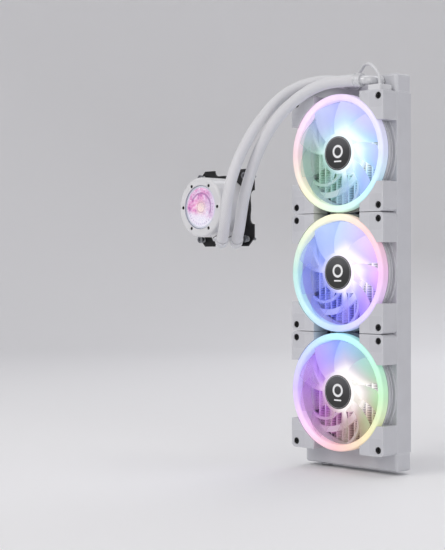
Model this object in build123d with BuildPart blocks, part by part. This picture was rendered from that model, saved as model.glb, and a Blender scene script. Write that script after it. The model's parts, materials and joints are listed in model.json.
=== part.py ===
"""Closed-loop liquid cooler: a radiator with three lit fans, two sleeved hoses and a round pump head.

Millimetres, +Z up along the radiator. The origin is the centre of the middle bay's four wall screws, on the
radiator's back face. The back face is the plane Y = 0, the fans blow through the radiator and face -Y, and
the pump head stands to the left of the fans, on the -X side, also facing -Y.
"""
from build123d import *
from math import cos, pi, radians, sin, tan
import os

os.makedirs("parts", exist_ok=True)

# ---------------------------------------------------------------- driving dimensions
# Three 140 mm bays
BAY = 140.0                     # pitch of the bays along Z
BAY_CENTRES = {"top": BAY, "middle": 0.0, "bottom": -BAY}
SCREW_SPACING = 124.5           # screw to screw, both ways, in every bay

# Radiator
WIDTH = 140.0
LENGTH = 459.0
DEPTH = 27.0
HEADER_Z = 208.0                # where the two header plates begin
HEADER_THICK = 1.5
TANK_Z = HEADER_Z + HEADER_THICK
TANK_WALL = 1.8
TANK_CORNER_R = 4.0
CORE_HALF = 57.5                # half width of the finned core
CORE_DEPTH = 22.0
TUBE_COUNT = 12
TUBE_PITCH = 9.0
TUBE_THICK = 2.0
TUBE_END = TANK_Z + 1.0         # the flat tubes stand 1 mm into the tanks
CHANNEL_WALL = 1.2
WALL_HOLE_R = 1.5               # M3 holes in the back face
CORE_Y = -DEPTH / 2

# Fans
FAN_SIZE = 139.2
FAN_DEPTH = 25.0
FAN_BACK = -DEPTH
FAN_FRONT = FAN_BACK - FAN_DEPTH
DUCT_R = 61.6
BARREL_R = 66.0
RING_R = 69.3
RING_INNER_R = 61.2
RING_DEPTH = 9.5
CORNER_FROM = 35.0              # the corner posts begin this far from the fan's centre lines
STRUT_COUNT = 6
STRUT_WIDTH = 3.0
LEAD_ARM_WIDTH = 7.0            # the broad arm that carries the motor's lead
STRUT_DEPTH = 3.5
RIM_DEPTH = 2.5                 # square rim at the back of the frame
RIDGE_HEIGHTS = (5.0, 10.5)     # two thin ribs around the barrel
MOTOR_CUP_R = 24.5
CUP_FLOOR = 2.0
BEARING_TUBE_R = 5.5
BEARING_R = 4.0
BEARING_LENGTH = 15.0
STATOR_FROM = 6.0
STATOR_DEPTH = 8.0
POLE_SIZE = (30.0, 5.0)
SHAFT_R = 1.5
RUNNING_GAP = 0.05
HUB_R = 24.0
HUB_FROM = 5.0                  # heights inside a fan are measured from its back face
HUB_TOP = 21.7
BADGE_R = 20.0
BADGE_THICK = 0.5
BLADE_COUNT = 9
BLADE_TIP_R = 60.4
BLADE_MIDDLE = 14.0
FAN_SCREW_HOLE_R = 2.2
FAN_SCREW_R = 1.7               # 6-32 thread
FAN_SCREW_HEAD_R = 3.75
FAN_SCREW_SINK = 2.4
HEAD_HEIGHT = 2.6
HEAD_SEAT = FAN_DEPTH - FAN_SCREW_SINK - 1.0

# Pump head, measured from its display face backwards, towards +Y
PUMP_X = -176.0
PUMP_Z = 80.5
PUMP_FACE = -103.5
PUMP_R = 37.0
PUMP_WALL = 3.0
FACE_RING = 5.0                 # thickness of the face ring
DISPLAY_R = 27.0
FACE_SCREW_AT = 30.0
DRY_BACK = 8.0                  # the partition between electronics and coolant
WET_FRONT = 9.5
POCKET_R = 13.0                 # dry pocket that holds the stator
POCKET_END = 30.0
HOUSING_BACK = 46.0
BASE_BACK = 50.0
PLATE_BACK = 52.5               # contact face of the cold plate
BASE_FLANGE_R = 40.0
BRACKET_THICK = 2.0
BRACKET_HALF = 48.0
STUD_AT = 39.0                  # mounting studs, half of a 78 mm square
STUD_SHANK_R = 2.15             # plain shank, through the spring and the bracket
STUD_SHANK_END = 48.5
STUD_THREAD_R = 1.75
STUD_END = 58.0
PORT_DEPTHS = {"front": 13.0, "rear": 38.5}
PORT_ANGLE = -64.0              # the two ports point down and right, at five o'clock
PORT_FACE_R = 41.0
PORT_ELBOW_R = 53.0
PORT_BOSS_R = 7.2
LENS_SEAT = 3.0                 # the lens lies on this step of the face ring
SHAFT_SEAT = 1.5                # depth of the blind holes that hold the impeller's shaft
IMPELLER_R = 19.0

# Hoses and fittings
HOSE_R = 6.8
ELBOW_R = 5.2
ELBOW_BORE_R = 3.6
ELBOW_BEND = 6.0
ELBOW_FLANGE_R = 6.8
ELBOW_FLANGE_THICK = 1.6
SEAL_R = 6.4
SEAL_THICK = 1.0
FERRULE_R = 7.9
FERRULE_GRIP = 8.0              # length of hose inside a ferrule
FERRULE_LIP = 1.5
TANK_PORT_Z = 221.5
TANK_PORTS = {"front": (12.0, -36.5), "rear": (46.0, -51.0)}     # X of the port, Y where its elbow turns
TANK_ELBOW_REACH = 9.0
PUMP_ELBOW_REACH = 14.0

# Lead of the fans
LEAD_R = 1.8
BLOCK_X = (47.0, 65.0)
BLOCK_Y = (FAN_FRONT, -30.0)
BLOCK_HEIGHT = 6.0
FAN_TOP = BAY + FAN_SIZE / 2


def polar(radius, angle):
    """A point of a drawing plane at a radius and an angle in degrees."""
    return (radius * cos(radians(angle)), radius * sin(radians(angle)))


def facing(y, z=0.0, x=0.0):
    """A drawing plane that faces the front (-Y), with its own x along X and its own y along Z."""
    return Plane(origin=(x, y, z), x_dir=(1, 0, 0), z_dir=(0, -1, 0))


def fan_plane(height, centre):
    """A fan's drawing plane at a height above the fan's back face."""
    return facing(FAN_BACK - height, centre)


def pump_plane(depth):
    """The pump head's drawing plane at a depth behind its display face."""
    return facing(PUMP_FACE + depth, PUMP_Z, PUMP_X)


def across(point, direction):
    """A drawing plane through a point, square to a direction."""
    return Plane(origin=tuple(point), z_dir=tuple(direction))


def save(builder, label):
    """Name a finished piece and write it as a STEP file of its own."""
    builder.part.label = label
    export_step(builder.part, f"parts/{label}.step")


# ================================================================ radiator
# Flat tubes carry the coolant between the tanks
TUBE_XS = [(index - (TUBE_COUNT - 1) / 2) * TUBE_PITCH for index in range(TUBE_COUNT)]
with BuildPart() as flat_tubes:
    with BuildSketch(Plane.XY.offset(-TUBE_END)):
        with Locations([(x, CORE_Y) for x in TUBE_XS]):
            SlotOverall(CORE_DEPTH, TUBE_THICK, rotation=90)
    extrude(amount=2 * TUBE_END)
save(flat_tubes, "flat_tubes")

# One bank of folded fins fills each gap between tubes
FIN_WIDTH = TUBE_PITCH - TUBE_THICK
FIN_XS = [x - TUBE_PITCH / 2 for x in TUBE_XS] + [TUBE_XS[-1] + TUBE_PITCH / 2]
with BuildPart() as fin_banks:
    with BuildSketch(Plane.XY.offset(-HEADER_Z)):
        with Locations([(x, CORE_Y) for x in FIN_XS]):
            Rectangle(FIN_WIDTH, CORE_DEPTH - TUBE_THICK)
    extrude(amount=2 * HEADER_Z)
save(fin_banks, "fin_banks")

# The header plates are the slotted tank floors that the tubes stand in
with BuildPart() as header_plates:
    for bottom in (HEADER_Z, -TANK_Z):
        with BuildSketch(Plane.XY.offset(bottom)):
            with Locations((0, CORE_Y)):
                RectangleRounded(WIDTH, DEPTH, TANK_CORNER_R)
            with Locations([(x, CORE_Y) for x in TUBE_XS]):
                SlotOverall(CORE_DEPTH, TUBE_THICK, rotation=90, mode=Mode.SUBTRACT)
        extrude(amount=HEADER_THICK)
save(header_plates, "header_plates")

# End tanks: pressed boxes with rounded corners, open towards the header plate
TANK_HEIGHT = LENGTH / 2 - TANK_Z
with BuildPart() as top_tank:
    with BuildSketch(Plane.XY.offset(TANK_Z)):
        with Locations((0, CORE_Y)):
            RectangleRounded(WIDTH, DEPTH, TANK_CORNER_R)
    extrude(amount=TANK_HEIGHT)
    fillet(top_tank.edges().group_by(Axis.Z)[-1], radius=3)
    with BuildSketch(Plane.XY.offset(TANK_Z)):
        with Locations((0, CORE_Y)):
            RectangleRounded(WIDTH - 2 * TANK_WALL, DEPTH - 2 * TANK_WALL, TANK_CORNER_R - TANK_WALL)
    extrude(amount=TANK_HEIGHT - TANK_WALL, mode=Mode.SUBTRACT)
    for port_x, _ in TANK_PORTS.values():
        with BuildSketch(facing(-DEPTH, TANK_PORT_Z, port_x)):
            Circle(ELBOW_BORE_R)
        extrude(amount=-2 * TANK_WALL, mode=Mode.SUBTRACT)
save(top_tank, "top_tank")

FILL_X = -46.0
FILL_R = 5.0
FILL_HEAD_R = 7.5
FILL_HEAD_THICK = 2.0
FILL_THREAD = 6.0
with BuildPart() as bottom_tank:
    with BuildSketch(Plane.XY.offset(-TANK_Z)):
        with Locations((0, CORE_Y)):
            RectangleRounded(WIDTH, DEPTH, TANK_CORNER_R)
    extrude(amount=-TANK_HEIGHT)
    fillet(bottom_tank.edges().group_by(Axis.Z)[0], radius=3)
    with BuildSketch(Plane.XY.offset(-TANK_Z)):
        with Locations((0, CORE_Y)):
            RectangleRounded(WIDTH - 2 * TANK_WALL, DEPTH - 2 * TANK_WALL, TANK_CORNER_R - TANK_WALL)
    extrude(amount=-(TANK_HEIGHT - TANK_WALL), mode=Mode.SUBTRACT)
    with BuildSketch(Plane.XY.offset(-LENGTH / 2)):
        with Locations((FILL_X, CORE_Y)):
            Circle(FILL_R)
    extrude(amount=2 * TANK_WALL, mode=Mode.SUBTRACT)
save(bottom_tank, "bottom_tank")

# The baffle parts the top tank between the two ports, so the coolant goes down one side and up the other
BAFFLE_X = (TANK_PORTS["front"][0] + TANK_PORTS["rear"][0]) / 2
with BuildPart() as tank_baffle:
    with BuildSketch(Plane.XY.offset(TUBE_END)):
        with Locations((BAFFLE_X, CORE_Y)):
            Rectangle(1.2, DEPTH - 2 * TANK_WALL)
    extrude(amount=LENGTH / 2 - TANK_WALL - TUBE_END)
save(tank_baffle, "tank_baffle")

# Fill plug with a hexagon recess, on a sealing washer under the bottom tank
with BuildPart() as fill_plug:
    with BuildSketch(Plane.XY.offset(-LENGTH / 2 - SEAL_THICK)):
        with Locations((FILL_X, CORE_Y)):
            Circle(FILL_R)
    extrude(amount=SEAL_THICK + FILL_THREAD)
    with BuildSketch(Plane.XY.offset(-LENGTH / 2 - SEAL_THICK)):
        with Locations((FILL_X, CORE_Y)):
            Circle(FILL_HEAD_R)
    extrude(amount=-FILL_HEAD_THICK)
    fillet(fill_plug.edges().group_by(Axis.Z)[0], radius=0.6)
    with BuildSketch(Plane.XY.offset(-LENGTH / 2 - SEAL_THICK - FILL_HEAD_THICK)):
        with Locations((FILL_X, CORE_Y)):
            RegularPolygon(3.0, 6)
    extrude(amount=2.5, mode=Mode.SUBTRACT)
save(fill_plug, "fill_plug")

# Side channels: box sections beside the core, with the screw holes of both faces
CHANNEL_WIDTH = WIDTH / 2 - CORE_HALF
with BuildPart() as side_channels:
    with BuildSketch(Plane.XY.offset(-HEADER_Z)):
        with GridLocations(2 * CORE_HALF + CHANNEL_WIDTH, 0, 2, 1):
            with Locations((0, CORE_Y)):
                RectangleRounded(CHANNEL_WIDTH, DEPTH, 1.0)
                RectangleRounded(
                    CHANNEL_WIDTH - 2 * CHANNEL_WALL, DEPTH - 2 * CHANNEL_WALL, 0.5, mode=Mode.SUBTRACT
                )
    extrude(amount=2 * HEADER_Z)
    for bay_z in BAY_CENTRES.values():
        for hole_plane, hole_r in (
            (facing(0, bay_z), WALL_HOLE_R),
            (facing(-DEPTH / 2, bay_z), FAN_SCREW_R + RUNNING_GAP),
        ):
            with BuildSketch(hole_plane):
                with GridLocations(SCREW_SPACING, SCREW_SPACING, 2, 2):
                    Circle(hole_r)
            extrude(amount=DEPTH / 2, mode=Mode.SUBTRACT)
save(side_channels, "side_channels")

# ================================================================ fans
RING_BACK = FAN_DEPTH - RING_DEPTH
POST_HALF = FAN_SIZE / 2
LED_BOARD_THICK = 1.2
LED_BOARD_R = (DUCT_R + 1.2, BARREL_R - 0.8)
PAD_THICK = 1.0
PAD_SIZE = 19.0
PAD_AT = 58.6


def corner_pads(plane, thickness, mode=Mode.ADD):
    """The four corner pads of a fan, or the pockets that they lie in."""
    with BuildSketch(plane) as pads:
        with GridLocations(2 * PAD_AT, 2 * PAD_AT, 2, 2):
            RectangleRounded(PAD_SIZE, PAD_SIZE, 3.0)
        Circle(RING_R + 1.5 * PAD_THICK, mode=Mode.SUBTRACT)
        with GridLocations(SCREW_SPACING, SCREW_SPACING, 2, 2):
            Circle(FAN_SCREW_HEAD_R + 0.5, mode=Mode.SUBTRACT)
    extrude(pads.sketch, amount=-thickness, mode=mode)


for bay, bay_z in BAY_CENTRES.items():
    back = fan_plane(0, bay_z)
    front = fan_plane(FAN_DEPTH, bay_z)

    # Frame: a round barrel between four full-depth corner posts, with a strutted motor cup at the back
    with BuildPart() as fan_frame:
        with BuildSketch(back):
            RectangleRounded(FAN_SIZE, FAN_SIZE, 5.0)
            Rectangle(2 * CORNER_FROM, FAN_SIZE, mode=Mode.SUBTRACT)
            Rectangle(FAN_SIZE, 2 * CORNER_FROM, mode=Mode.SUBTRACT)
        extrude(amount=FAN_DEPTH)
        with BuildSketch(fan_plane(RING_BACK, bay_z)):
            Circle(RING_R + 0.1)
        extrude(amount=RING_DEPTH, mode=Mode.SUBTRACT)
        with BuildSketch(back):
            Circle(BARREL_R)
        extrude(amount=RING_BACK)
        for height in RIDGE_HEIGHTS:
            with BuildSketch(fan_plane(height, bay_z)):
                Circle(BARREL_R + 1.6)
            extrude(amount=1.0)
        with BuildSketch(back):
            Circle(POST_HALF)
            Circle(BARREL_R - 1, mode=Mode.SUBTRACT)
        extrude(amount=RIM_DEPTH)
        with BuildSketch(back):
            Circle(DUCT_R)
        extrude(amount=RING_BACK, mode=Mode.SUBTRACT)
        with BuildSketch(back):
            for index in range(STRUT_COUNT):
                turn = index * 360 / STRUT_COUNT
                with BuildLine():
                    ThreePointArc(
                        polar(MOTOR_CUP_R - 2, turn), polar(44, turn - 10), polar(DUCT_R + 2, turn - 34)
                    )
                trace(line_width=STRUT_WIDTH)
        extrude(amount=STRUT_DEPTH)
        with BuildSketch(back):
            with BuildLine():
                ThreePointArc(polar(MOTOR_CUP_R - 2, -20), polar(36, -88), polar(DUCT_R + 3, -134))
            trace(line_width=LEAD_ARM_WIDTH)
        extrude(amount=STRUT_DEPTH)
        with BuildSketch(back):
            Circle(MOTOR_CUP_R)
        extrude(amount=STRUT_DEPTH)
        with BuildSketch(fan_plane(CUP_FLOOR, bay_z)):
            Circle(MOTOR_CUP_R - 2)
        extrude(amount=STRUT_DEPTH - CUP_FLOOR, mode=Mode.SUBTRACT)
        with BuildSketch(back):
            Circle(BEARING_TUBE_R)
        extrude(amount=CUP_FLOOR + BEARING_LENGTH)
        with BuildSketch(fan_plane(CUP_FLOOR, bay_z)):
            Circle(BEARING_R)
        extrude(amount=BEARING_LENGTH, mode=Mode.SUBTRACT)
        with BuildSketch(fan_plane(RING_BACK - LED_BOARD_THICK, bay_z)):
            Circle(LED_BOARD_R[1])
            Circle(LED_BOARD_R[0], mode=Mode.SUBTRACT)
        extrude(amount=LED_BOARD_THICK, mode=Mode.SUBTRACT)
        with BuildSketch(back):
            with GridLocations(SCREW_SPACING, SCREW_SPACING, 2, 2):
                Circle(FAN_SCREW_HOLE_R)
        extrude(amount=FAN_DEPTH, mode=Mode.SUBTRACT)
        with BuildSketch(front):
            with GridLocations(SCREW_SPACING, SCREW_SPACING, 2, 2):
                Circle(FAN_SCREW_HEAD_R + 0.4)
        extrude(amount=-(FAN_SCREW_SINK + 1.0), mode=Mode.SUBTRACT)
        corner_pads(front, PAD_THICK, Mode.SUBTRACT)
    save(fan_frame, f"{bay}_fan_frame")

    # Light ring: the diffuser that wraps the front edge of the duct
    with BuildPart() as light_ring:
        with BuildSketch(fan_plane(RING_BACK, bay_z)):
            Circle(RING_R)
            Circle(RING_INNER_R, mode=Mode.SUBTRACT)
        extrude(amount=RING_DEPTH)
        fillet(light_ring.edges().group_by(Axis.Y)[0], radius=2.6)
    save(light_ring, f"{bay}_light_ring")

# Rubber pads on the corners
with BuildPart() as corner_pad_set:
    for bay_z in BAY_CENTRES.values():
        corner_pads(fan_plane(FAN_DEPTH, bay_z), PAD_THICK)
save(corner_pad_set, "fan_corner_pads")

# LED boards: thin rings behind the light rings
with BuildPart() as led_boards:
    for bay_z in BAY_CENTRES.values():
        with BuildSketch(fan_plane(RING_BACK - LED_BOARD_THICK, bay_z)):
            Circle(LED_BOARD_R[1])
            Circle(LED_BOARD_R[0], mode=Mode.SUBTRACT)
        extrude(amount=LED_BOARD_THICK)
save(led_boards, "fan_led_boards")

# Motors: bearing sleeve, driver board, and a four-pole stator with its windings
with BuildPart() as fan_bearings:
    for bay_z in BAY_CENTRES.values():
        with BuildSketch(fan_plane(CUP_FLOOR, bay_z)):
            Circle(BEARING_R)
            Circle(SHAFT_R + RUNNING_GAP, mode=Mode.SUBTRACT)
        extrude(amount=BEARING_LENGTH)
save(fan_bearings, "fan_bearings")

with BuildPart() as driver_boards:
    for bay_z in BAY_CENTRES.values():
        with BuildSketch(fan_plane(CUP_FLOOR, bay_z)):
            Circle(MOTOR_CUP_R - 3)
            Circle(BEARING_TUBE_R, mode=Mode.SUBTRACT)
        extrude(amount=1.2)
save(driver_boards, "fan_driver_boards")

POLE_COUNT = 4
WINDING_PROUD = 1.2             # how far a winding stands out of the stator's faces
with BuildPart() as fan_stators:
    for bay_z in BAY_CENTRES.values():
        with BuildSketch(fan_plane(STATOR_FROM, bay_z)):
            Circle(17.6)
            Circle(14.6, mode=Mode.SUBTRACT)
            for index in range(POLE_COUNT):
                with Locations(polar(16, 45 + index * 90)):
                    Circle(2.2, mode=Mode.SUBTRACT)
            Circle(8.0)
            Rectangle(*POLE_SIZE)
            Rectangle(*POLE_SIZE, rotation=90)
            Circle(BEARING_TUBE_R, mode=Mode.SUBTRACT)
        extrude(amount=STATOR_DEPTH)
save(fan_stators, "fan_stators")

with BuildPart() as fan_windings:
    for bay_z in BAY_CENTRES.values():
        for index in range(POLE_COUNT):
            with BuildSketch(fan_plane(STATOR_FROM - WINDING_PROUD, bay_z)):
                with Locations(Location(polar(10.9, index * 90), index * 90)):
                    RectangleRounded(5.0, 8.4, 1.0)
            extrude(amount=STATOR_DEPTH + 2 * WINDING_PROUD)
        with BuildSketch(fan_plane(STATOR_FROM, bay_z)):
            Rectangle(*POLE_SIZE)
            Rectangle(*POLE_SIZE, rotation=90)
        extrude(amount=STATOR_DEPTH, mode=Mode.SUBTRACT)
save(fan_windings, "fan_windings")


# Rotors: a hub cup with nine swept, twisted blades; a magnet ring, a shaft and a round badge turn with it
BLADE_SECTIONS = (              # radius, chord, pitch in degrees, sweep in degrees, camber
    (19.0, 22.0, 48.0, 0.0, 2.6),
    (40.0, 34.0, 34.0, -5.0, 3.4),
    (63.0, 46.0, 23.0, -17.0, 3.4),
)
BLADE_THICK = 1.7
BLADES_FRONT = FAN_DEPTH - 1.5
HUB_WALL = 2.4
HUB_FLOOR = 2.0
SHAFT_BOSS = 2.2                # height of the boss that holds the shaft, behind the hub's floor
SHAFT_FRONT = HUB_TOP - 0.8
SHAFT_BACK = 2.2


def blade_section(bay_z, turn, radius, chord, pitch, sweep, camber):
    """The face of a cambered crescent, square to the blade's radius."""
    along = radians(turn + sweep)
    outward = (cos(along), 0, sin(along))
    tangent = (-sin(along), 0, cos(along))
    lean = radians(pitch)
    chord_way = tuple(cos(lean) * t + sin(lean) * n for t, n in zip(tangent, (0, -1, 0)))
    centre = (radius * outward[0], FAN_BACK - BLADE_MIDDLE, bay_z + radius * outward[2])
    with BuildSketch(Plane(origin=centre, x_dir=chord_way, z_dir=outward)) as crescent:
        with BuildLine():
            ThreePointArc((-chord / 2, 0), (0, camber + BLADE_THICK / 2), (chord / 2, 0))
            ThreePointArc((chord / 2, 0), (0, camber - BLADE_THICK / 2), (-chord / 2, 0))
        make_face()
    return crescent.sketch.face()


for bay, bay_z in BAY_CENTRES.items():
    with BuildPart() as fan_rotor:
        for index in range(BLADE_COUNT):
            turn = index * 360 / BLADE_COUNT
            loft([blade_section(bay_z, turn, *section) for section in BLADE_SECTIONS])
        with BuildSketch(fan_plane(0, bay_z)):
            Circle(HUB_R - HUB_WALL / 2)
        extrude(amount=FAN_DEPTH, mode=Mode.SUBTRACT)
        with BuildSketch(fan_plane(HUB_FROM, bay_z)):
            Circle(BLADE_TIP_R)
        extrude(amount=BLADES_FRONT - HUB_FROM, mode=Mode.INTERSECT)
        with BuildSketch(fan_plane(HUB_FROM, bay_z)):
            Circle(HUB_R)
            Circle(HUB_R - HUB_WALL, mode=Mode.SUBTRACT)
        extrude(amount=HUB_TOP - HUB_FROM)
        with BuildSketch(fan_plane(HUB_TOP - HUB_FLOOR, bay_z)):
            Circle(HUB_R)
        extrude(amount=HUB_FLOOR)
        with BuildSketch(fan_plane(HUB_TOP - HUB_FLOOR, bay_z)):
            Circle(3 * SHAFT_R)
        extrude(amount=-SHAFT_BOSS)
        with BuildSketch(fan_plane(SHAFT_FRONT, bay_z)):
            Circle(SHAFT_R)
        extrude(amount=-(HUB_FLOOR + SHAFT_BOSS), mode=Mode.SUBTRACT)
    save(fan_rotor, f"{bay}_fan_rotor")

    with BuildPart() as rotor_magnet:
        with BuildSketch(fan_plane(HUB_FROM + 1, bay_z)):
            Circle(HUB_R - HUB_WALL)
            Circle(18.4, mode=Mode.SUBTRACT)
        extrude(amount=12)
    save(rotor_magnet, f"{bay}_fan_magnet")

    with BuildPart() as rotor_shaft:
        with BuildSketch(fan_plane(SHAFT_BACK, bay_z)):
            Circle(SHAFT_R)
        extrude(amount=SHAFT_FRONT - SHAFT_BACK)
        chamfer(rotor_shaft.edges().group_by(Axis.Y)[-1], length=0.3)
    save(rotor_shaft, f"{bay}_fan_shaft")

    with BuildPart() as hub_badge:
        with BuildSketch(fan_plane(HUB_TOP, bay_z)):
            Circle(BADGE_R)
        extrude(amount=BADGE_THICK)
        chamfer(hub_badge.edges().group_by(Axis.Y)[0], length=0.2)
    save(hub_badge, f"{bay}_fan_badge")

# Twelve long screws go through the fans into the side channels
with BuildPart() as fan_screws:
    for bay_z in BAY_CENTRES.values():
        with BuildSketch(fan_plane(HEAD_SEAT, bay_z)):
            with GridLocations(SCREW_SPACING, SCREW_SPACING, 2, 2):
                Circle(FAN_SCREW_HEAD_R)
        extrude(amount=HEAD_HEIGHT)
        with BuildSketch(fan_plane(HEAD_SEAT, bay_z)):
            with GridLocations(SCREW_SPACING, SCREW_SPACING, 2, 2):
                Circle(FAN_SCREW_R)
        extrude(amount=-(HEAD_SEAT + 3.5))
        with BuildSketch(fan_plane(HEAD_SEAT + HEAD_HEIGHT, bay_z)):
            with GridLocations(SCREW_SPACING, SCREW_SPACING, 2, 2):
                Rectangle(4.4, 1.1)
                Rectangle(1.1, 4.4)
        extrude(amount=-1.6, mode=Mode.SUBTRACT)
save(fan_screws, "fan_screws")

# ================================================================ lead of the fans
BLOCK_MIDDLE = (sum(BLOCK_X) / 2, sum(BLOCK_Y) / 2)
LEAD_START = (56.0, -41.0, FAN_TOP + BLOCK_HEIGHT)
with BuildPart() as lead_block:
    with BuildSketch(Plane.XY.offset(FAN_TOP)):
        with Locations(BLOCK_MIDDLE):
            RectangleRounded(BLOCK_X[1] - BLOCK_X[0], BLOCK_Y[1] - BLOCK_Y[0], 1.2)
    extrude(amount=BLOCK_HEIGHT)
    fillet(lead_block.edges().group_by(Axis.Z)[-1], radius=0.8)
save(lead_block, "fan_lead_block")

# ================================================================ pump head
PORT_X, PORT_Z = polar(1.0, PORT_ANGLE)
PORT_WAY = Vector(PORT_X, 0, PORT_Z)


def port_point(depth, radius):
    """A point on a port's axis, at a radius from the pump's own axis."""
    return Vector(PUMP_X, PUMP_FACE + depth, PUMP_Z) + PORT_WAY * radius


# Housing: a round can with a partition, a dry pocket for the stator, and two port bosses
with BuildPart() as pump_housing:
    with BuildSketch(pump_plane(FACE_RING)):
        Circle(PUMP_R)
    extrude(amount=-(HOUSING_BACK - FACE_RING))
    for depth in PORT_DEPTHS.values():
        with BuildSketch(across(port_point(depth, PUMP_R - PUMP_WALL), PORT_WAY)):
            Circle(PORT_BOSS_R)
        extrude(amount=PORT_FACE_R - PUMP_R + PUMP_WALL)
    with BuildSketch(pump_plane(FACE_RING)):
        Circle(PUMP_R - PUMP_WALL)
    extrude(amount=-(DRY_BACK - FACE_RING), mode=Mode.SUBTRACT)
    with BuildSketch(pump_plane(WET_FRONT)):
        Circle(PUMP_R - PUMP_WALL)
        Circle(POCKET_R, mode=Mode.SUBTRACT)
    extrude(amount=-(HOUSING_BACK - WET_FRONT), mode=Mode.SUBTRACT)
    with BuildSketch(pump_plane(POCKET_END)):
        Circle(POCKET_R)
    extrude(amount=-(HOUSING_BACK - POCKET_END), mode=Mode.SUBTRACT)
    with BuildSketch(pump_plane(DRY_BACK)):
        Circle(POCKET_R - 1)
    extrude(amount=-(POCKET_END - DRY_BACK - 2.5), mode=Mode.SUBTRACT)
    with BuildSketch(pump_plane(POCKET_END)):
        Circle(SHAFT_R)
    extrude(amount=SHAFT_SEAT, mode=Mode.SUBTRACT)
    for depth in PORT_DEPTHS.values():
        with BuildSketch(across(port_point(depth, PUMP_R - 2 * PUMP_WALL), PORT_WAY)):
            Circle(ELBOW_BORE_R)
        extrude(amount=PORT_FACE_R, mode=Mode.SUBTRACT)
save(pump_housing, "pump_housing")

# Face ring with its rounded edge, the round display behind a lens, and six small screws
SCREW_SINK = 0.4
SCREW_SEAT = 2.0                # depth of the face screws' counterbores
FACE_HEAD_R = 2.0
FACE_SCREW_R = 0.85
with BuildPart() as face_ring:
    with BuildSketch(pump_plane(0)):
        Circle(PUMP_R)
    extrude(amount=-FACE_RING)
    fillet(face_ring.edges().group_by(Axis.Y)[0], radius=3.2)
    with BuildSketch(pump_plane(0)):
        Circle(DISPLAY_R + 0.2)
    extrude(amount=-LENS_SEAT, mode=Mode.SUBTRACT)
    with BuildSketch(pump_plane(LENS_SEAT)):
        Circle(DISPLAY_R - 2.5)
    extrude(amount=-(FACE_RING - LENS_SEAT), mode=Mode.SUBTRACT)
    with BuildSketch(pump_plane(0)):
        with PolarLocations(FACE_SCREW_AT, 6):
            Circle(FACE_HEAD_R + 0.1)
    extrude(amount=-SCREW_SEAT, mode=Mode.SUBTRACT)
    with BuildSketch(pump_plane(SCREW_SEAT)):
        with PolarLocations(FACE_SCREW_AT, 6):
            Circle(FACE_SCREW_R + RUNNING_GAP)
    extrude(amount=-(FACE_RING - SCREW_SEAT), mode=Mode.SUBTRACT)
save(face_ring, "pump_face_ring")

with BuildPart() as face_screws:
    with BuildSketch(pump_plane(SCREW_SEAT)):
        with PolarLocations(FACE_SCREW_AT, 6):
            Circle(FACE_HEAD_R)
    extrude(amount=SCREW_SEAT - SCREW_SINK)
    with BuildSketch(pump_plane(SCREW_SEAT)):
        with PolarLocations(FACE_SCREW_AT, 6):
            Circle(FACE_SCREW_R)
    extrude(amount=-(FACE_RING - SCREW_SEAT))
    with BuildSketch(pump_plane(SCREW_SINK)):
        with PolarLocations(FACE_SCREW_AT, 6):
            RegularPolygon(FACE_SCREW_R, 6)
    extrude(amount=-0.9, mode=Mode.SUBTRACT)
save(face_screws, "pump_face_screws")

LENS_THICK = 1.3
PANEL_THICK = 1.5
with BuildPart() as display_lens:
    with BuildSketch(pump_plane(LENS_SEAT - PANEL_THICK)):
        Circle(DISPLAY_R)
    extrude(amount=LENS_THICK)
    fillet(display_lens.edges().group_by(Axis.Y)[0], radius=0.5)
save(display_lens, "pump_display_lens")

with BuildPart() as display_panel:
    with BuildSketch(pump_plane(LENS_SEAT)):
        Circle(DISPLAY_R - 0.2)
    extrude(amount=PANEL_THICK)
save(display_panel, "pump_display_panel")

BOARD_THICK = 1.4
with BuildPart() as control_board:
    with BuildSketch(pump_plane(FACE_RING)):
        Circle(PUMP_R - PUMP_WALL - 1)
        with PolarLocations(FACE_SCREW_AT, 6):
            Circle(1.4, mode=Mode.SUBTRACT)
    extrude(amount=-BOARD_THICK)
    with BuildSketch(pump_plane(FACE_RING + BOARD_THICK)):
        with Locations((18, 8), (-17, 12), (-14, -14)):
            Rectangle(8, 6)
    extrude(amount=-1.2)
save(control_board, "pump_control_board")

# Motor and impeller: the stator stands dry in the pocket, the magnet cup runs wet around it
with BuildPart() as pump_stator:
    with BuildSketch(pump_plane(DRY_BACK + 2)):
        Circle(POCKET_R - 1.2)
        Circle(3.0, mode=Mode.SUBTRACT)
        with PolarLocations(9.0, 6, start_angle=30):
            Circle(1.9, mode=Mode.SUBTRACT)
    extrude(amount=-17)
save(pump_stator, "pump_stator")

CUP_FRONT = POCKET_END - 14     # the magnet cup reaches forwards around the pocket
CUP_BACK = POCKET_END + 1
VANES_FRONT = CUP_BACK + 1.8
VANES_BACK = 41.0
VANE_COUNT = 7
with BuildPart() as impeller:
    with BuildSketch(pump_plane(CUP_FRONT)):
        Circle(IMPELLER_R)
        Circle(IMPELLER_R - 1, mode=Mode.SUBTRACT)
    extrude(amount=-(CUP_BACK - CUP_FRONT))
    with BuildSketch(pump_plane(CUP_BACK)):
        Circle(IMPELLER_R)
    extrude(amount=-(VANES_FRONT - CUP_BACK))
    with BuildSketch(pump_plane(VANES_FRONT)):
        for index in range(VANE_COUNT):
            turn = index * 360 / VANE_COUNT
            with BuildLine():
                ThreePointArc(polar(4, turn), polar(11, turn + 22), polar(18.2, turn + 62))
            trace(line_width=1.4)
        Circle(4.5)
    extrude(amount=-(VANES_BACK - VANES_FRONT))
    with BuildSketch(pump_plane(POCKET_END)):
        Circle(SHAFT_R + RUNNING_GAP)
    extrude(amount=-(VANES_BACK - POCKET_END), mode=Mode.SUBTRACT)
save(impeller, "pump_impeller")

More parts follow.
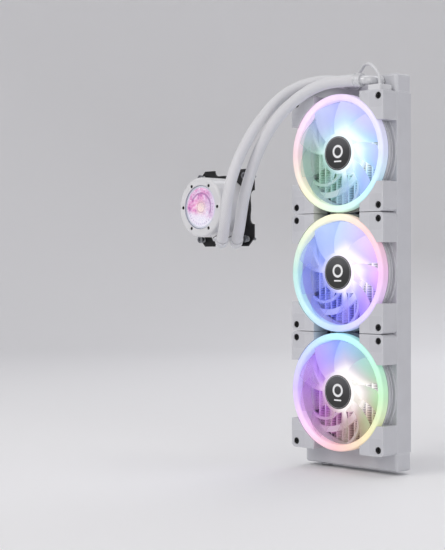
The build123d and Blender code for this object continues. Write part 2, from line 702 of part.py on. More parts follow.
with BuildPart() as impeller_magnet:
    with BuildSketch(pump_plane(CUP_FRONT)):
        Circle(IMPELLER_R - 1)
        Circle(POCKET_R + 1, mode=Mode.SUBTRACT)
    extrude(amount=-(CUP_BACK - CUP_FRONT))
save(impeller_magnet, "pump_impeller_magnet")

SHAFT_POST = 3.5                # the base's post, with a blind hole for the shaft's other end
with BuildPart() as impeller_shaft:
    with BuildSketch(pump_plane(POCKET_END - SHAFT_SEAT)):
        Circle(SHAFT_R)
    extrude(amount=-(HOUSING_BACK - SHAFT_POST + 2.0 - POCKET_END + SHAFT_SEAT))
save(impeller_shaft, "pump_impeller_shaft")

# Base: closes the can, steadies the shaft and carries the flange that the bracket presses on
PLATE_SIZE = 54.0
PLATE_SCREW_SPACING = 46.0
PLATE_SCREW_R = 1.15
PLATE_HEAD_R = 2.4
PLATE_HEAD_SINK = 1.4
FIN_BLOCK = 34.0
SKIVED_FINS = 17
with BuildPart() as pump_base:
    with BuildSketch(pump_plane(HOUSING_BACK)):
        Circle(PUMP_R)
    extrude(amount=-BRACKET_THICK)
    with BuildSketch(pump_plane(HOUSING_BACK + BRACKET_THICK)):
        Circle(BASE_FLANGE_R)
    extrude(amount=-(BASE_BACK - HOUSING_BACK - BRACKET_THICK))
    with BuildSketch(pump_plane(HOUSING_BACK)):
        Circle(4.0)
    extrude(amount=SHAFT_POST)
    with BuildSketch(pump_plane(HOUSING_BACK - SHAFT_POST)):
        Circle(SHAFT_R)
    extrude(amount=-2.0, mode=Mode.SUBTRACT)
    with BuildSketch(pump_plane(HOUSING_BACK + 1.0)):
        RectangleRounded(FIN_BLOCK + 2, FIN_BLOCK + 2, 2)
    extrude(amount=-3.0, mode=Mode.SUBTRACT)
    with BuildSketch(pump_plane(HOUSING_BACK)):
        with Locations((0, 12)):
            SlotOverall(26, 5)
    extrude(amount=-1.0, mode=Mode.SUBTRACT)
    with BuildSketch(pump_plane(BASE_BACK)):
        with GridLocations(PLATE_SCREW_SPACING, PLATE_SCREW_SPACING, 2, 2):
            Circle(PLATE_SCREW_R + RUNNING_GAP)
    extrude(amount=3.5, mode=Mode.SUBTRACT)
save(pump_base, "pump_base")

# O-ring in the can's mouth
O_RING_THICK = 1.6
with BuildPart() as pump_seal:
    with BuildSketch(pump_plane(HOUSING_BACK - O_RING_THICK)):
        Circle(PUMP_R - PUMP_WALL)
        Circle(PUMP_R - PUMP_WALL - O_RING_THICK, mode=Mode.SUBTRACT)
    extrude(amount=-O_RING_THICK)
save(pump_seal, "pump_base_seal")

# Copper cold plate with skived fins inside and four countersunk screws
with BuildPart() as cold_plate:
    with BuildSketch(pump_plane(BASE_BACK)):
        RectangleRounded(PLATE_SIZE, PLATE_SIZE, 4)
    extrude(amount=-(PLATE_BACK - BASE_BACK))
    chamfer(cold_plate.edges().group_by(Axis.Y)[-1], length=0.5)
    with BuildSketch(pump_plane(BASE_BACK)):
        with GridLocations(2.0, 0, SKIVED_FINS, 1):
            Rectangle(0.7, FIN_BLOCK)
    extrude(amount=2.5)
    with BuildSketch(pump_plane(BASE_BACK)):
        with GridLocations(PLATE_SCREW_SPACING, PLATE_SCREW_SPACING, 2, 2):
            Circle(PLATE_SCREW_R + 0.15)
    extrude(amount=-(PLATE_BACK - BASE_BACK), mode=Mode.SUBTRACT)
    with BuildSketch(pump_plane(PLATE_BACK)):
        with GridLocations(PLATE_SCREW_SPACING, PLATE_SCREW_SPACING, 2, 2):
            Circle(PLATE_HEAD_R + 0.1)
    extrude(amount=PLATE_HEAD_SINK, mode=Mode.SUBTRACT)
save(cold_plate, "cold_plate")

with BuildPart() as plate_screws:
    with BuildSketch(pump_plane(PLATE_BACK - PLATE_HEAD_SINK)):
        with GridLocations(PLATE_SCREW_SPACING, PLATE_SCREW_SPACING, 2, 2):
            Circle(PLATE_HEAD_R)
    extrude(amount=-(PLATE_HEAD_SINK - 0.2))
    with BuildSketch(pump_plane(PLATE_BACK - PLATE_HEAD_SINK)):
        with GridLocations(PLATE_SCREW_SPACING, PLATE_SCREW_SPACING, 2, 2):
            Circle(PLATE_SCREW_R)
    extrude(amount=4.0)
    with BuildSketch(pump_plane(PLATE_BACK - 0.2)):
        with GridLocations(PLATE_SCREW_SPACING, PLATE_SCREW_SPACING, 2, 2):
            Rectangle(3.0, 0.7)
            Rectangle(0.7, 3.0)
    extrude(amount=0.7, mode=Mode.SUBTRACT)
save(plate_screws, "cold_plate_screws")

# Bracket: a plate around the can that presses on the base's flange
WAIST_SIZE = (42.0, 14.0)       # the slot that narrows the bracket in the middle of each side
with BuildPart() as bracket:
    with BuildSketch(pump_plane(HOUSING_BACK)):
        Rectangle(2 * BRACKET_HALF, 2 * BRACKET_HALF)
        chamfer(vertices(), length=10)
        with Locations((BRACKET_HALF, 0), (-BRACKET_HALF, 0)):
            SlotOverall(*WAIST_SIZE, rotation=90, mode=Mode.SUBTRACT)
        with Locations((0, BRACKET_HALF), (0, -BRACKET_HALF)):
            SlotOverall(*WAIST_SIZE, mode=Mode.SUBTRACT)
        Circle(PUMP_R + 0.1, mode=Mode.SUBTRACT)
        with GridLocations(2 * STUD_AT, 2 * STUD_AT, 2, 2):
            Circle(STUD_SHANK_R + 0.4, mode=Mode.SUBTRACT)
    extrude(amount=-BRACKET_THICK)
save(bracket, "pump_bracket")

# Four captive studs with ring heads, each on a coil spring
HEAD_FRONT = 37.5
HEAD_THICK = 3.0
HEAD_R = 4.4
HEAD_RECESS = 1.6
SPRING_WIRE_R = 0.45
with BuildPart() as bracket_studs:
    with BuildSketch(pump_plane(HEAD_FRONT + HEAD_THICK)):
        with GridLocations(2 * STUD_AT, 2 * STUD_AT, 2, 2):
            Circle(HEAD_R)
    extrude(amount=HEAD_THICK)
    with BuildSketch(pump_plane(HEAD_FRONT)):
        with GridLocations(2 * STUD_AT, 2 * STUD_AT, 2, 2):
            Circle(2.6)
    extrude(amount=-HEAD_RECESS, mode=Mode.SUBTRACT)
    with BuildSketch(pump_plane(HEAD_FRONT + HEAD_RECESS)):
        with GridLocations(2 * STUD_AT, 2 * STUD_AT, 2, 2):
            Circle(STUD_SHANK_R)
    extrude(amount=-(STUD_SHANK_END - HEAD_FRONT - HEAD_RECESS))
    with BuildSketch(pump_plane(STUD_SHANK_END)):
        with GridLocations(2 * STUD_AT, 2 * STUD_AT, 2, 2):
            Circle(STUD_THREAD_R)
    extrude(amount=-(STUD_END - STUD_SHANK_END))
save(bracket_studs, "bracket_studs")

SPRING_FROM = HEAD_FRONT + HEAD_THICK + SPRING_WIRE_R
SPRING_LENGTH = HOUSING_BACK - SPRING_WIRE_R - SPRING_FROM
SPRING_R = 3.1
with BuildPart() as bracket_springs:
    for stud_x in (PUMP_X - STUD_AT, PUMP_X + STUD_AT):
        for stud_z in (PUMP_Z - STUD_AT, PUMP_Z + STUD_AT):
            foot = (stud_x, PUMP_FACE + SPRING_FROM, stud_z)
            with BuildLine() as coil:
                Helix(SPRING_LENGTH / 3, SPRING_LENGTH, SPRING_R, center=foot, direction=(0, 1, 0))
            with BuildSketch(Plane(origin=coil.line @ 0, z_dir=coil.line % 0)):
                Circle(SPRING_WIRE_R)
            sweep(is_frenet=True)
save(bracket_springs, "bracket_springs")

# ================================================================ fittings and hoses
# The barbs of the pump's elbows lean forwards, to the right and up, square to their ports
BARB_TURN = 53.5
BARB_FORWARD = cos(radians(BARB_TURN))
BARB_ASIDE = sin(radians(BARB_TURN))
BARB_WAY = Vector(-PORT_Z * BARB_ASIDE, -BARB_FORWARD, PORT_X * BARB_ASIDE)


def disc(point, way, outer, inner=0.0):
    """A round face through a point, square to a direction, with an optional hole."""
    with BuildSketch(across(point, way)) as face:
        Circle(outer)
        if inner:
            Circle(inner, mode=Mode.SUBTRACT)
    return face.sketch


def elbow(start, corner, end):
    """A hollow elbow along a bent path, with a flange at its start, inside the builder that is open."""
    with BuildLine() as bend:
        FilletPolyline(tuple(start), tuple(corner), tuple(end), radius=ELBOW_BEND)
    sweep(disc(start, corner - start, ELBOW_R), path=bend.wire())
    extrude(disc(start, corner - start, ELBOW_FLANGE_R), amount=ELBOW_FLANGE_THICK)
    sweep(disc(start, corner - start, ELBOW_BORE_R), path=bend.wire(), mode=Mode.SUBTRACT)


def seal(start, way):
    """A flat sealing ring in front of a fitting."""
    extrude(disc(start, way, SEAL_R, ELBOW_BORE_R + 0.6), amount=SEAL_THICK)


def ferrule(end, way):
    """A crimped sleeve over the end of a hose, with a lip that grips the elbow."""
    extrude(disc(end - way * FERRULE_LIP, way, FERRULE_R, ELBOW_R), amount=FERRULE_LIP)
    extrude(disc(end, way, FERRULE_R, HOSE_R), amount=FERRULE_GRIP)


# The hoses leave the pump forwards, climb in front of the top fan and end over it, at the top tank.
# Each list holds the route's points between the two straight ends that the elbows fix.
HOSE_MIDDLES = {
    "front": [
        (-119.5, -117.5, 54.5),
        (-112, -123, 68),
        (-107, -125, 89),
        (-106, -117, 118),
        (-103.5, -101.5, 150),
        (-97, -81, 182),
        (-85, -60, 210),
        (-69, -46, 223.5),
        (-50, -39, 228.5),
        (-24, -36.8, 229),
    ],
    "rear": [
        (-119.5, -91.5, 54.5),
        (-111.8, -96.5, 68.5),
        (-106, -98, 90),
        (-102.5, -90.5, 119),
        (-94.5, -82.5, 150),
        (-79.5, -74.8, 179),
        (-58, -67, 202),
        (-32, -59, 218),
        (-4, -53, 224.5),
    ],
}
FIRST_RUN = 17.0                # straight start of a hose at the pump

tank_elbows = {}
pump_elbows = {}
for port, (port_x, turn_y) in TANK_PORTS.items():
    corner = Vector(port_x, turn_y, TANK_PORT_Z)
    way = (Vector(*HOSE_MIDDLES[port][-1]) - corner).normalized()
    tank_elbows[port] = (Vector(port_x, -DEPTH, TANK_PORT_Z), corner, way, corner + way * TANK_ELBOW_REACH)
for port, depth in PORT_DEPTHS.items():
    corner = port_point(depth, PORT_ELBOW_R)
    end = corner + BARB_WAY * PUMP_ELBOW_REACH
    pump_elbows[port] = (port_point(depth, PORT_FACE_R), corner, BARB_WAY, end)

with BuildPart() as tank_fittings:
    for face, corner, _, end in tank_elbows.values():
        elbow(face + Vector(0, -SEAL_THICK, 0), corner, end)
save(tank_fittings, "tank_elbows")

with BuildPart() as pump_fittings:
    for face, corner, _, end in pump_elbows.values():
        elbow(face + PORT_WAY * SEAL_THICK, corner, end)
save(pump_fittings, "pump_elbows")

with BuildPart() as sealing_rings:
    fill_hole = Vector(FILL_X, CORE_Y, -LENGTH / 2)
    extrude(disc(fill_hole, Vector(0, 0, -1), FILL_HEAD_R - 0.3, FILL_R), amount=SEAL_THICK)
    for face, _, _, _ in tank_elbows.values():
        seal(face, Vector(0, -1, 0))
    for face, _, _, _ in pump_elbows.values():
        seal(face, PORT_WAY)
save(sealing_rings, "sealing_rings")

with BuildPart() as hose_ferrules:
    for _, _, way, end in [*tank_elbows.values(), *pump_elbows.values()]:
        ferrule(end, way)
save(hose_ferrules, "hose_ferrules")


def fillet_radii(points):
    """For each corner of a route, 0.45 of its shorter run over the tangent of half its turn."""
    corners = [Vector(*point) for point in points]
    radii = []
    for before, here, after in zip(corners, corners[1:], corners[2:]):
        turn = (here - before).get_angle(after - here)
        shorter = min((here - before).length, (after - here).length)
        radii.append(0.45 * shorter / tan(radians(turn / 2)))
    return radii


def route_tube(label, points, radius):
    """A cord's plain round solid along its route, inside the builder that is open."""
    radii = fillet_radii(points)
    with BuildLine() as route:
        FilletPolyline(*points, radius=radii)
    start = Vector(*points[0])
    sweep(disc(start, Vector(*points[1]) - start, radius), path=route.wire())
    length = route.wire().length
    print(label, f"length {length:.1f} mm, radii", ", ".join(f"{value:.0f}" for value in radii))
    return length


for port, middle in HOSE_MIDDLES.items():
    start = pump_elbows[port][3]
    points = [tuple(start), tuple(start + BARB_WAY * FIRST_RUN), *middle, tuple(tank_elbows[port][3])]
    with BuildPart() as hose:
        hose_length = route_tube(f"{port} hose", points, HOSE_R)
    print(f"  volume over section times length {hose.part.volume / (pi * HOSE_R ** 2 * hose_length):.4f}")
    print("  ends", [tuple(round(value, 1) for value in point) for point in (*points[:2], points[-1])])
    save(hose, f"{port}_hose")

# The fans' lead rises from its block, crosses the top tank and hangs down the left side of the radiator
LEAD_ROUTE = [
    LEAD_START,
    (56, -41, 225),
    (52, -43, 234),
    (43, -42.5, 241),
    (31, -37, 242.5),
    (20, -27.5, 239.5),
    (4, -17.5, 233.4),
    (-18, -13.5, 231.9),
    (-44, -14.5, 232.2),
    (-64, -13, 235.5),
    (-77, -12, 231),
    (-80, -12, 215),
    (-78, -13, 188),
    (-76.5, -14.5, 142),
    (-78, -14, 90),
    (-78.5, -13, 38),
    (-78.5, -13, -10.1),
]
with BuildPart() as fan_lead:
    lead_length = route_tube("fan lead", LEAD_ROUTE, LEAD_R)
print(f"  volume over section times length {fan_lead.part.volume / (pi * LEAD_R ** 2 * lead_length):.4f}")
save(fan_lead, "fan_lead")

# Four-pin plug on the lead's end, with its latch rib
PLUG_SIZE = (10.4, 6.0, 14.0)
SOCKET_DEPTH = 9.0
LEAD_END = Vector(*LEAD_ROUTE[-1])
with BuildPart() as lead_plug:
    with BuildSketch(Plane.XY.offset(LEAD_END.Z)):
        with Locations((LEAD_END.X, LEAD_END.Y)):
            RectangleRounded(PLUG_SIZE[0], PLUG_SIZE[1], 0.6)
    extrude(amount=-PLUG_SIZE[2])
    with BuildSketch(Plane.XY.offset(LEAD_END.Z - 2)):
        with Locations((LEAD_END.X, LEAD_END.Y - PLUG_SIZE[1] / 2 - 0.5)):
            Rectangle(4.0, 1.2)
    extrude(amount=-9)
    with BuildSketch(Plane.XY.offset(LEAD_END.Z - PLUG_SIZE[2])):
        with Locations((LEAD_END.X, LEAD_END.Y)):
            with GridLocations(2.4, 0, 4, 1):
                Rectangle(1.3, 1.3)
    extrude(amount=SOCKET_DEPTH, mode=Mode.SUBTRACT)
save(lead_plug, "fan_lead_plug")
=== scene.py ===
"""Looks for the closed-loop liquid cooler: lit fans, sleeved hoses, a pump head with a round display.

Metres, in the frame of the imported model. The fans and the pump head face -Y, and +Z is up.
"""

import json
from math import pi, radians

import bmesh
import bpy
import numpy as np
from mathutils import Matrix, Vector


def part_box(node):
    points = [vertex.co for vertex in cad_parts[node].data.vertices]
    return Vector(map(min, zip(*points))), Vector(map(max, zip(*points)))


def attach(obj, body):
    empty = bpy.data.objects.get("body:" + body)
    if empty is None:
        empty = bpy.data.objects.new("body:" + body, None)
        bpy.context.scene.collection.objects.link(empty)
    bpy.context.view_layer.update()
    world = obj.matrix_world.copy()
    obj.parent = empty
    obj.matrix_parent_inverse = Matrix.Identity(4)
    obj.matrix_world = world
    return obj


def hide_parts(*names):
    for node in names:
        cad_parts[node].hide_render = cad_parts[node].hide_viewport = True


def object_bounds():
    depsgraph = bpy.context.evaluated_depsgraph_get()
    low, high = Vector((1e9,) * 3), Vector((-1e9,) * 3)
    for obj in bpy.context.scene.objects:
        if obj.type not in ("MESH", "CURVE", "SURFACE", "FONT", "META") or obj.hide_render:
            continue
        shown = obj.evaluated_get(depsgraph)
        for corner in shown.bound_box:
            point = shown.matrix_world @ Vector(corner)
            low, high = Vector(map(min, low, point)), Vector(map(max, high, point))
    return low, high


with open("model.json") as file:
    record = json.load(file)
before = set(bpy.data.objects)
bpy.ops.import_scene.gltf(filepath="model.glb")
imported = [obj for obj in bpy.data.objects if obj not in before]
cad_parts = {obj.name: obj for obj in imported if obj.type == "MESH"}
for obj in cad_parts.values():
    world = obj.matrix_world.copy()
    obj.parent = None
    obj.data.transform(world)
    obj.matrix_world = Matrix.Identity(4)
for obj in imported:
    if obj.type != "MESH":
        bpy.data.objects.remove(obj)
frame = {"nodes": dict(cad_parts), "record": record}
cad_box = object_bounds()
nodes = frame["nodes"]

MM = 0.001
BAYS = ("top", "middle", "bottom")
BAY_HALF = 70 * MM              # half the height of one fan's bay
LIGHT_DEPTH = 17 * MM           # how far the fans' light reaches into the core
LIT_RADIUS = (62.5 * MM, 60.5 * MM)     # where that light ends and where it is full


def middle_of(node):
    """The centre of a CAD node's box."""
    low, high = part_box(node)
    return (low + high) / 2


FAN_CENTRES = {bay: middle_of(f"{bay}_fan_badge") for bay in BAYS}
PUMP_CENTRE = middle_of("pump_display_panel")

# ================================================================ camera
CAMERA_AT = (1.0244, -1.2649, 0.00795)
CAMERA_TURN = 44.99             # degrees about Z, looking level
LENS = 88.46
SENSOR_WIDTH = 36.0
SHIFT_Y = -0.01655
camera_data = bpy.data.cameras.new("camera")
camera_data.lens = LENS
camera_data.sensor_width = SENSOR_WIDTH
camera_data.shift_y = SHIFT_Y
camera_data.clip_start = 0.05
camera = bpy.data.objects.new("camera", camera_data)
camera.location = CAMERA_AT
camera.rotation_euler = (radians(90), 0, radians(CAMERA_TURN))
bpy.context.scene.collection.objects.link(camera)
bpy.context.scene.camera = camera
bpy.context.scene.view_settings.view_transform = "Standard"


# ================================================================ node helpers
def rgb(code):
    """A linear colour with alpha from a six-digit sRGB code."""
    channels = [int(code[i:i + 2], 16) / 255 for i in (0, 2, 4)]
    linear = [c / 12.92 if c <= 0.04045 else ((c + 0.055) / 1.055) ** 2.4 for c in channels]
    return (*linear, 1.0)


def put(tree, socket, value):
    """Link a socket into an input, or set the input's own value."""
    if isinstance(value, bpy.types.NodeSocket):
        tree.links.new(value, socket)
    else:
        socket.default_value = value


def node(tree, kind, settings=None, **inputs):
    """A new shader node, with inputs given by name."""
    made = tree.nodes.new(kind)
    for name, value in (settings or {}).items():
        setattr(made, name, value)
    for name, value in inputs.items():
        put(tree, made.inputs[name.replace("_", " ")], value)
    return made


def calc(tree, operation, *values):
    """The result of a Math node."""
    made = node(tree, "ShaderNodeMath", {"operation": operation})
    for socket, value in zip(made.inputs, values):
        put(tree, socket, value)
    return made.outputs[0]


def distance(tree, across, up):
    """The distance of a place from a centre."""
    return calc(tree, "SQRT", calc(tree, "ADD", calc(tree, "MULTIPLY", across, across),
                                   calc(tree, "MULTIPLY", up, up)))


def span(tree, value, start, end):
    """0 before start, 1 after end, smooth in between. Start may be above end."""
    made = node(tree, "ShaderNodeMapRange", {"interpolation_type": "SMOOTHSTEP"}, Value=value)
    made.inputs["From Min"].default_value = start
    made.inputs["From Max"].default_value = end
    return made.outputs[0]


def blend(tree, factor, first, second):
    """A mix of two colours."""
    made = node(tree, "ShaderNodeMix", {"data_type": "RGBA"})
    put(tree, made.inputs["Factor"], factor)
    put(tree, made.inputs[6], first)
    put(tree, made.inputs[7], second)
    return made.outputs[2]


def ramp(tree, factor, stops):
    """A colour ramp with (position, colour code) stops."""
    made = node(tree, "ShaderNodeValToRGB", Fac=factor)
    elements = made.color_ramp.elements
    while len(elements) < len(stops):
        elements.new(0.5)
    for element, (position, code) in zip(elements, stops):
        element.position = position
        element.color = rgb(code)
    return made.outputs["Color"]


def material(name):
    """A new material, its tree and its Principled shader."""
    made = bpy.data.materials.new(name)
    made.use_nodes = True
    return made, made.node_tree, made.node_tree.nodes["Principled BSDF"]


def object_point(tree):
    """Object coordinates, which are the row frame's own metres."""
    return node(tree, "ShaderNodeTexCoord").outputs["Object"]


def noise(tree, scale, detail=3.0, point=None):
    """Smooth noise from 0 to 1 at a number of features per metre."""
    where = point or object_point(tree)
    return node(tree, "ShaderNodeTexNoise", Vector=where, Scale=scale, Detail=detail).outputs["Fac"]


def bump(tree, height, depth):
    """A bump of a depth in metres."""
    return node(tree, "ShaderNodeBump", Height=height, Strength=1.0, Distance=depth).outputs["Normal"]


def edge_mask(tree, radius):
    """1 along sharp edges, 0 on flats."""
    rounded = node(tree, "ShaderNodeBevel", {"samples": 4}, Radius=radius).outputs["Normal"]
    straight = node(tree, "ShaderNodeNewGeometry").outputs["Normal"]
    dot = node(tree, "ShaderNodeVectorMath", {"operation": "DOT_PRODUCT"})
    put(tree, dot.inputs[0], rounded)
    put(tree, dot.inputs[1], straight)
    return span(tree, dot.outputs["Value"], 0.995, 0.85)


def finish_material(name, code, rough, metallic=0.0, grain=2500, depth=0.00002, mottle=0.06, edge=None,
                    edge_code=None, coat=0.0):
    """A moulded, painted or machined surface: mottled colour, uneven gloss, fine grain, and edges lightened
    partly as wear and partly as a painted highlight.
    """
    made, tree, shader = material(name)
    broad = noise(tree, 45.0, 4.0)
    fine = noise(tree, grain, 2.0)
    base = rgb(code)
    dark = tuple(channel * (1 - 2 * mottle) for channel in base[:3]) + (1.0,)
    colour = blend(tree, broad, dark, base)
    # Lighter edges: partly wear, partly a painted highlight that makes the edges look rounded.
    if edge:
        worn_and_highlit = calc(tree, "MULTIPLY", edge_mask(tree, edge), 0.6)
        colour = blend(tree, worn_and_highlit, colour, rgb(edge_code))
    put(tree, shader.inputs["Base Color"], colour)
    put(tree, shader.inputs["Metallic"], metallic)
    put(tree, shader.inputs["Roughness"], calc(tree, "MULTIPLY_ADD", broad, 0.16, rough - 0.08))
    put(tree, shader.inputs["Normal"], bump(tree, fine, depth))
    put(tree, shader.inputs["Coat Weight"], coat)
    return made


def striped_material(name, code, groove_code, rough, metallic, pitch, axis, depth=0.00006):
    """Thin layers or turns side by side along an axis, such as laminations or wound wire."""
    made, tree, shader = material(name)
    along = node(tree, "ShaderNodeSeparateXYZ", Vector=object_point(tree)).outputs[axis]
    wave = calc(tree, "ABSOLUTE", calc(tree, "SINE", calc(tree, "MULTIPLY", along, pi / pitch)))
    colour = blend(tree, span(tree, wave, 0.1, 0.6), rgb(groove_code), rgb(code))
    dirt = calc(tree, "MULTIPLY", noise(tree, 300.0), 0.3)
    put(tree, shader.inputs["Base Color"], blend(tree, dirt, colour, rgb(groove_code)))
    put(tree, shader.inputs["Metallic"], metallic)
    put(tree, shader.inputs["Roughness"], calc(tree, "MULTIPLY_ADD", noise(tree, 900.0), 0.2, rough - 0.1))
    put(tree, shader.inputs["Normal"], bump(tree, wave, depth))
    return made


# ================================================================ lit fans
# Colours around a fan, one every 45 degrees, anticlockwise as seen from the front, from the left side
RING_COLOURS = {
    "top": ("ecc9cd", "f0ecc4", "d0f4dc", "b4f0f8", "cfd6f4", "dcd2ee", "e2caf0", "fbdcf8"),
    "middle": ("a9dcd4", "b4e4ea", "b0c8f8", "d8c4f8", "eab4e4", "f2c4c4", "f6ecc8", "e2ecc8"),
    "bottom": ("c8b0f4", "f8c8ee", "f0b8b8", "eee0a4", "b4ecb4", "a8ecd8", "a8f0f8", "b8ccfa"),
}
BLADE_COLOURS = {
    "top": ("8fb89a", "78ac92", "84accc", "9ab8f4", "aebef6", "c4c2fa", "bcc0f8", "aab8dc"),
    "middle": ("7280ee", "5c68e4", "746ced", "a880f0", "eaaef0", "e0c8ec", "b8d0f4", "98b0f0"),
    "bottom": ("b468dc", "a85aa4", "98746a", "a29c64", "a8d698", "98ccc0", "8eaef2", "b488f0"),
}
RING_LEDS = 20                  # soft bright spots around a ring
RING_INSIDE = (60.0 * MM, 61.8 * MM)    # the ring's light starts, and is full
RING_OUTSIDE = (70.2 * MM, 67.6 * MM)
GLOW_OFFSET = (9 * MM, 3 * MM)  # the glow leans right and up from the hub
GLOW_WHITE = (39 * MM, 21 * MM)         # no white beyond the first, all white within the second
GLOW_TINT = (56 * MM, 28 * MM)
GLOW_COLOURS = {"top": ("f4ffff", "bcf0ea"), "middle": ("fff8ff", "c0c8fa"), "bottom": ("fffaf6", "e6c0d2")}


def round_fan(tree, centre):
    """Across, up and turn (0 at the left side, growing through the bottom) around a fan's centre."""
    place = node(tree, "ShaderNodeNewGeometry").outputs["Position"]
    parts = node(tree, "ShaderNodeSeparateXYZ", Vector=place).outputs
    across = calc(tree, "SUBTRACT", parts["X"], centre.x)
    up = calc(tree, "SUBTRACT", parts["Z"], centre.z)
    turn = calc(tree, "MULTIPLY_ADD", calc(tree, "ARCTAN2", up, across), 0.5 / pi, 0.5)
    return across, up, turn


def wheel(tree, turn, codes):
    """Colours around a circle, closed at the left side."""
    stops = [(index / len(codes), code) for index, code in enumerate(codes)]
    return ramp(tree, turn, [*stops, (1.0, codes[0])])


def ring_material(bay):
    """The frosted light ring, lit from behind by a ring of LEDs."""
    made, tree, shader = material(f"{bay}_ring_diffuser")
    centre = FAN_CENTRES[bay]
    across, up, turn = round_fan(tree, centre)
    colour = wheel(tree, turn, RING_COLOURS[bay])
    radius = distance(tree, across, up)
    wave = calc(tree, "SINE", calc(tree, "MULTIPLY", turn, 2 * pi * RING_LEDS))
    ripple = calc(tree, "MULTIPLY_ADD", wave, 0.03, 0.97)
    middle = calc(tree, "MULTIPLY", span(tree, radius, *RING_OUTSIDE), span(tree, radius, *RING_INSIDE))
    strength = calc(tree, "MULTIPLY", ripple, calc(tree, "MULTIPLY_ADD", middle, 0.22, 0.30))
    put(tree, shader.inputs["Base Color"], blend(tree, 0.55, rgb("b9b9bf"), colour))
    put(tree, shader.inputs["Roughness"], calc(tree, "MULTIPLY_ADD", noise(tree, 400.0), 0.2, 0.35))
    put(tree, shader.inputs["Emission Color"], colour)
    put(tree, shader.inputs["Emission Strength"], strength)
    put(tree, shader.inputs["Normal"], bump(tree, noise(tree, 3000.0, 2.0), 0.00002))
    return made


def fan_light(tree, bay):
    """The colour of a fan's light by place, its whiteness, its halo and how far up and right the place is."""
    across, up, turn = round_fan(tree, FAN_CENTRES[bay])
    right = calc(tree, "SUBTRACT", across, GLOW_OFFSET[0])
    above = calc(tree, "SUBTRACT", up, GLOW_OFFSET[1])
    diamond = calc(tree, "ADD", calc(tree, "ABSOLUTE", right), calc(tree, "ABSOLUTE", above))
    rounded = calc(tree, "MULTIPLY", calc(tree, "ADD", diamond, distance(tree, right, above)), 0.5)
    white = span(tree, rounded, *GLOW_WHITE)
    halo = span(tree, rounded, *GLOW_TINT)
    colour = wheel(tree, turn, BLADE_COLOURS[bay])
    colour = blend(tree, calc(tree, "MULTIPLY", halo, 0.6), colour, rgb(GLOW_COLOURS[bay][1]))
    colour = blend(tree, calc(tree, "MULTIPLY", white, 0.9), colour, rgb(GLOW_COLOURS[bay][0]))
    lean = calc(tree, "ADD", calc(tree, "MULTIPLY", across, 0.8), calc(tree, "MULTIPLY", up, 0.6))
    return colour, white, halo, span(tree, lean, -45 * MM, 25 * MM)


def blade_material(bay):
    """Frosted blades lit by the ring: coloured towards the tips, white around the hub."""
    made, tree, shader = material(f"{bay}_blade_plastic")
    colour, white, halo, side = fan_light(tree, bay)
    cover = calc(tree, "MULTIPLY_ADD", side, 0.64, 0.18)
    cover = calc(tree, "MAXIMUM", cover, calc(tree, "MULTIPLY", halo, 0.85))
    strength = calc(tree, "MULTIPLY_ADD", white, 0.05, calc(tree, "MULTIPLY_ADD", side, 0.04, 0.38))
    put(tree, shader.inputs["Base Color"], blend(tree, 0.6, rgb("b4b7c4"), colour))
    put(tree, shader.inputs["Roughness"], calc(tree, "MULTIPLY_ADD", noise(tree, 300.0), 0.15, 0.32))
    put(tree, shader.inputs["Emission Color"], colour)
    put(tree, shader.inputs["Emission Strength"], strength)
    put(tree, shader.inputs["Alpha"], cover)
    put(tree, shader.inputs["Normal"], bump(tree, noise(tree, 2500.0, 2.0), 0.00002))
    return made


def add_fan_light(made, front, glow):
    """Light from the fans on what lies behind the blades, fading with depth behind a front plane."""
    tree = made.node_tree
    place = node(tree, "ShaderNodeNewGeometry").outputs["Position"]
    parts = node(tree, "ShaderNodeSeparateXYZ", Vector=place).outputs
    depth = span(tree, parts["Y"], front + LIGHT_DEPTH, front)
    light, colour = 0.0, rgb("000000")
    for bay, centre in FAN_CENTRES.items():
        across, up, _ = round_fan(tree, centre)
        hue, _, halo, side = fan_light(tree, bay)
        bright = calc(tree, "MULTIPLY_ADD", side, 0.05, 0.80)
        bright = calc(tree, "ADD", bright, calc(tree, "MULTIPLY", halo, 0.1))
        inside = span(tree, distance(tree, across, up), *LIT_RADIUS)
        light = calc(tree, "ADD", light, calc(tree, "MULTIPLY", bright, inside))
        near = calc(tree, "LESS_THAN", calc(tree, "ABSOLUTE", up), BAY_HALF)
        colour = blend(tree, near, colour, hue)
    shader = tree.nodes["Principled BSDF"]
    put(tree, shader.inputs["Emission Color"], colour)
    strength = calc(tree, "MULTIPLY", calc(tree, "MULTIPLY", light, depth), glow)
    put(tree, shader.inputs["Emission Strength"], strength)
    return made


def badge_material():
    """A dark satin disc under a thin clear layer, with a painted highlight that makes it lighter towards the
    top.
    """
    made, tree, shader = material("badge")
    height = node(tree, "ShaderNodeSeparateXYZ", Vector=object_point(tree)).outputs["Z"]
    shades = []
    # Painted highlight: each badge runs from dark at its bottom to lighter at its top.
    for centre in FAN_CENTRES.values():
        above = calc(tree, "SUBTRACT", height, centre.z)
        near = calc(tree, "LESS_THAN", calc(tree, "ABSOLUTE", above), 30 * MM)
        rise = span(tree, above, -14 * MM, 20 * MM)
        shades.append(calc(tree, "MULTIPLY", near, rise))
    rise = calc(tree, "ADD", calc(tree, "ADD", shades[0], shades[1]), shades[2])
    colour = ramp(tree, rise, [(0.0, "151416"), (0.5, "2b2b2e"), (1.0, "525256")])
    put(tree, shader.inputs["Base Color"], colour)
    put(tree, shader.inputs["Roughness"], calc(tree, "MULTIPLY_ADD", noise(tree, 1500.0), 0.15, 0.38))
    put(tree, shader.inputs["Coat Weight"], 0.4)
    put(tree, shader.inputs["Coat Roughness"], 0.12)
    put(tree, shader.inputs["Normal"], bump(tree, noise(tree, 6000.0, 2.0), 0.000006))
    return made


# ================================================================ pump display
GAUGE_RADII = (16.2 * MM, 18.2 * MM)
GAUGE_ANGLES = (-0.5, 2.6)      # radians from the right side
TICK_RADII = (20.0 * MM, 21.6 * MM)
TICK_COUNT = 36
INNER_RING_RADII = (6.2 * MM, 6.8 * MM)
RIM_RADIUS = 24.0 * MM
EDGE_RADIUS = 26.0 * MM


